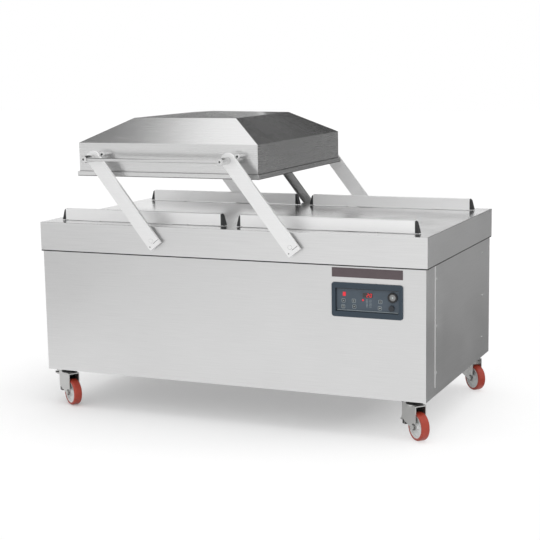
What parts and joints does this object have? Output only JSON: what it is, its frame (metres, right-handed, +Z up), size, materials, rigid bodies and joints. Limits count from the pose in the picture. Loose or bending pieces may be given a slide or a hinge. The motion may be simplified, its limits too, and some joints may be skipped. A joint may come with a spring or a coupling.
{
  "type": "double chamber vacuum packing machine",
  "caption": "Floor-standing vacuum packing machine: sheet cabinet on castors, flat worktop with sealing bars, and a raised hipped lid that swings over from chamber to chamber on parallel arms.",
  "frame": {"origin": "on the floor, at the middle of the whole machine's outline, from the front of the lid handle to the rear arm pins", "axes": "+X to the operator's right along the front, +Y from front to back, +Z up"},
  "size_m": [1.9378, 1.2354, 1.3884],
  "materials": {
    "frame_steel": "satin",
    "cabinet_sheet": "fine brushed",
    "worktop_steel": "bright brushed",
    "lid_steel": "bright brushed",
    "screw_steel": "polished",
    "machined_steel": "machined",
    "arm_steel": "fine satin",
    "pivot_steel": "turned",
    "handle_chrome": "polished",
    "bezel_plastic": "fine grain",
    "panel_film": "printed film",
    "display_glass": "dark glossy",
    "black_plastic": "glossy",
    "dial_aluminium": "satin dial",
    "name_plate_film": "satin film",
    "pump_iron": "painted casting",
    "block_aluminium": "machined",
    "hose_rubber": "matt",
    "transformer_iron": "varnished",
    "box_paint": "fine powder coat",
    "gland_plastic": "moulded",
    "gasket_rubber": "matt",
    "silicone_rubber": "matt",
    "bar_aluminium": "extruded satin",
    "bar_end_plastic": "moulded",
    "fork_zinc": "bright zinc plated",
    "hub_plastic": "moulded",
    "tyre_red": "cast polyurethane",
    "pedal_zinc": "zinc plated"
  },
  "bodies": {
    "base": {"frame": "frame_steel", "floor_pan": "cabinet_sheet", "front_panel": "cabinet_sheet", "rear_panel": "cabinet_sheet", "side_panel_left": "cabinet_sheet", "side_panel_right": "cabinet_sheet", "panel_screws": "screw_steel", "worktop": "worktop_steel", "lift_cylinders": "machined_steel", "panel_bezel": "bezel_plastic", "control_plate": "panel_film", "display_window": "display_glass", "gauge_housing": "black_plastic", "gauge_dial": "dial_aluminium", "name_plate": "name_plate_film", "pivot_bearings": "machined_steel", "vacuum_pump": "pump_iron", "valve_block": "block_aluminium", "vacuum_hoses": "hose_rubber", "transformer": "transformer_iron", "electrical_box": "box_paint", "power_inlet": "gland_plastic", "castor_plates": "machined_steel"},
    "power_button": {"power_button": "black_plastic"},
    "arms_left": {"front_arm_left": "arm_steel", "rear_arm_left": "arm_steel", "arm_shaft_left": "machined_steel"},
    "arms_right": {"front_arm_right": "arm_steel", "rear_arm_right": "arm_steel", "arm_shaft_right": "machined_steel"},
    "middle_arm": {"channel_arm": "arm_steel"},
    "lid": {"lid_shell": "lid_steel", "lid_gasket": "gasket_rubber", "counter_bars": "bar_aluminium", "silicone_strips": "silicone_rubber", "lid_pivots": "pivot_steel", "lid_handle": "handle_chrome", "lid_screws": "screw_steel"},
    "seal_bar_left_front": {"seal_bar_left_front": "bar_aluminium", "seal_bar_ends_left_front": "bar_end_plastic"},
    "seal_bar_left_rear": {"seal_bar_left_rear": "bar_aluminium", "seal_bar_ends_left_rear": "bar_end_plastic"},
    "seal_bar_right_front": {"seal_bar_right_front": "bar_aluminium", "seal_bar_ends_right_front": "bar_end_plastic"},
    "seal_bar_right_rear": {"seal_bar_right_rear": "bar_aluminium", "seal_bar_ends_right_rear": "bar_end_plastic"},
    "castor_front_left": {"castor_fork_front_left": "fork_zinc"},
    "wheel_front_left": {"wheel_hub_front_left": "hub_plastic", "wheel_tyre_front_left": "tyre_red"},
    "brake_front_left": {"brake_pedal_front_left": "pedal_zinc"},
    "castor_front_right": {"castor_fork_front_right": "fork_zinc"},
    "wheel_front_right": {"wheel_hub_front_right": "hub_plastic", "wheel_tyre_front_right": "tyre_red"},
    "brake_front_right": {"brake_pedal_front_right": "pedal_zinc"},
    "castor_rear_left": {"castor_fork_rear_left": "fork_zinc"},
    "wheel_rear_left": {"wheel_hub_rear_left": "hub_plastic", "wheel_tyre_rear_left": "tyre_red"},
    "castor_rear_right": {"castor_fork_rear_right": "fork_zinc"},
    "wheel_rear_right": {"wheel_hub_rear_right": "hub_plastic", "wheel_tyre_rear_right": "tyre_red"}
  },
  "joints": [
    {"name": "left_arm_swing", "type": "hinge", "parent": "base", "child": "arms_left", "pos_m": [-0.341, 0.03625, 0.828], "axis": [0, 1, 0], "range_deg": [-33.35, 109.35]},
    {"name": "right_arm_swing", "type": "hinge", "parent": "base", "child": "arms_right", "pos_m": [0.341, 0.03625, 0.828], "axis": [0, 1, 0], "range_deg": [-33.35, 109.35]},
    {"name": "middle_arm_swing", "type": "hinge", "parent": "base", "child": "middle_arm", "pos_m": [0.02, 0.57725, 0.828], "axis": [0, 1, 0], "range_deg": [-33.35, 109.35]},
    {"name": "lid_level", "type": "hinge", "parent": "arms_left", "child": "lid", "pos_m": [-0.63035, 0.03625, 1.19835], "axis": [0, 1, 0], "range_deg": [-109.35, 33.35]},
    {"name": "seal_bar_left_front_lift", "type": "slide", "parent": "base", "child": "seal_bar_left_front", "axis": [0, 0, 1], "range_m": [0, 0.006]},
    {"name": "seal_bar_left_rear_lift", "type": "slide", "parent": "base", "child": "seal_bar_left_rear", "axis": [0, 0, 1], "range_m": [0, 0.006]},
    {"name": "seal_bar_right_front_lift", "type": "slide", "parent": "base", "child": "seal_bar_right_front", "axis": [0, 0, 1], "range_m": [0, 0.006]},
    {"name": "seal_bar_right_rear_lift", "type": "slide", "parent": "base", "child": "seal_bar_right_rear", "axis": [0, 0, 1], "range_m": [0, 0.006]},
    {"name": "power_button_press", "type": "slide", "parent": "base", "child": "power_button", "axis": [0, 1, 0], "range_m": [0, 0.003], "stiffness_N_per_m": 400},
    {"name": "castor_front_left_swivel", "type": "hinge", "parent": "base", "child": "castor_front_left", "pos_m": [-0.87, -0.42975, 0.151], "axis": [0, 0, 1], "continuous": true},
    {"name": "wheel_front_left_roll", "type": "hinge", "parent": "castor_front_left", "child": "wheel_front_left", "pos_m": [-0.8385, -0.451, 0.0625], "axis": [0.5592, 0.829, 0], "continuous": true},
    {"name": "brake_front_left_press", "type": "hinge", "parent": "castor_front_left", "child": "brake_front_left", "pos_m": [-0.91394, -0.40011, 0.13], "axis": [0.5592, 0.829, 0], "range_deg": [-70, 0]},
    {"name": "castor_front_right_swivel", "type": "hinge", "parent": "base", "child": "castor_front_right", "pos_m": [0.87, -0.42975, 0.151], "axis": [0, 0, 1], "continuous": true},
    {"name": "wheel_front_right_roll", "type": "hinge", "parent": "castor_front_right", "child": "wheel_front_right", "pos_m": [0.89824, -0.45518, 0.0625], "axis": [0.6691, 0.7431, 0], "continuous": true},
    {"name": "brake_front_right_press", "type": "hinge", "parent": "castor_front_right", "child": "brake_front_right", "pos_m": [0.83061, -0.39429, 0.13], "axis": [0.6691, 0.7431, 0], "range_deg": [0, 70]},
    {"name": "castor_rear_left_swivel", "type": "hinge", "parent": "base", "child": "castor_rear_left", "pos_m": [-0.87, 0.50225, 0.151], "axis": [0, 0, 1], "continuous": true},
    {"name": "wheel_rear_left_roll", "type": "hinge", "parent": "castor_rear_left", "child": "wheel_rear_left", "pos_m": [-0.83965, 0.47938, 0.0625], "axis": [0.6018, 0.7986, 0], "continuous": true},
    {"name": "castor_rear_right_swivel", "type": "hinge", "parent": "base", "child": "castor_rear_right", "pos_m": [0.87, 0.50225, 0.151], "axis": [0, 0, 1], "continuous": true},
    {"name": "wheel_rear_right_roll", "type": "hinge", "parent": "castor_rear_right", "child": "wheel_rear_right", "pos_m": [0.89911, 0.47782, 0.0625], "axis": [0.6428, 0.766, 0], "continuous": true}
  ],
  "couplings": [
    {"joint": "right_arm_swing", "follows": "left_arm_swing", "ratio": 1},
    {"joint": "middle_arm_swing", "follows": "left_arm_swing", "ratio": 1},
    {"joint": "lid_level", "follows": "left_arm_swing", "ratio": -1},
    {"joint": "seal_bar_left_rear_lift", "follows": "seal_bar_left_front_lift", "ratio": 1},
    {"joint": "seal_bar_right_rear_lift", "follows": "seal_bar_right_front_lift", "ratio": 1}
  ]
}
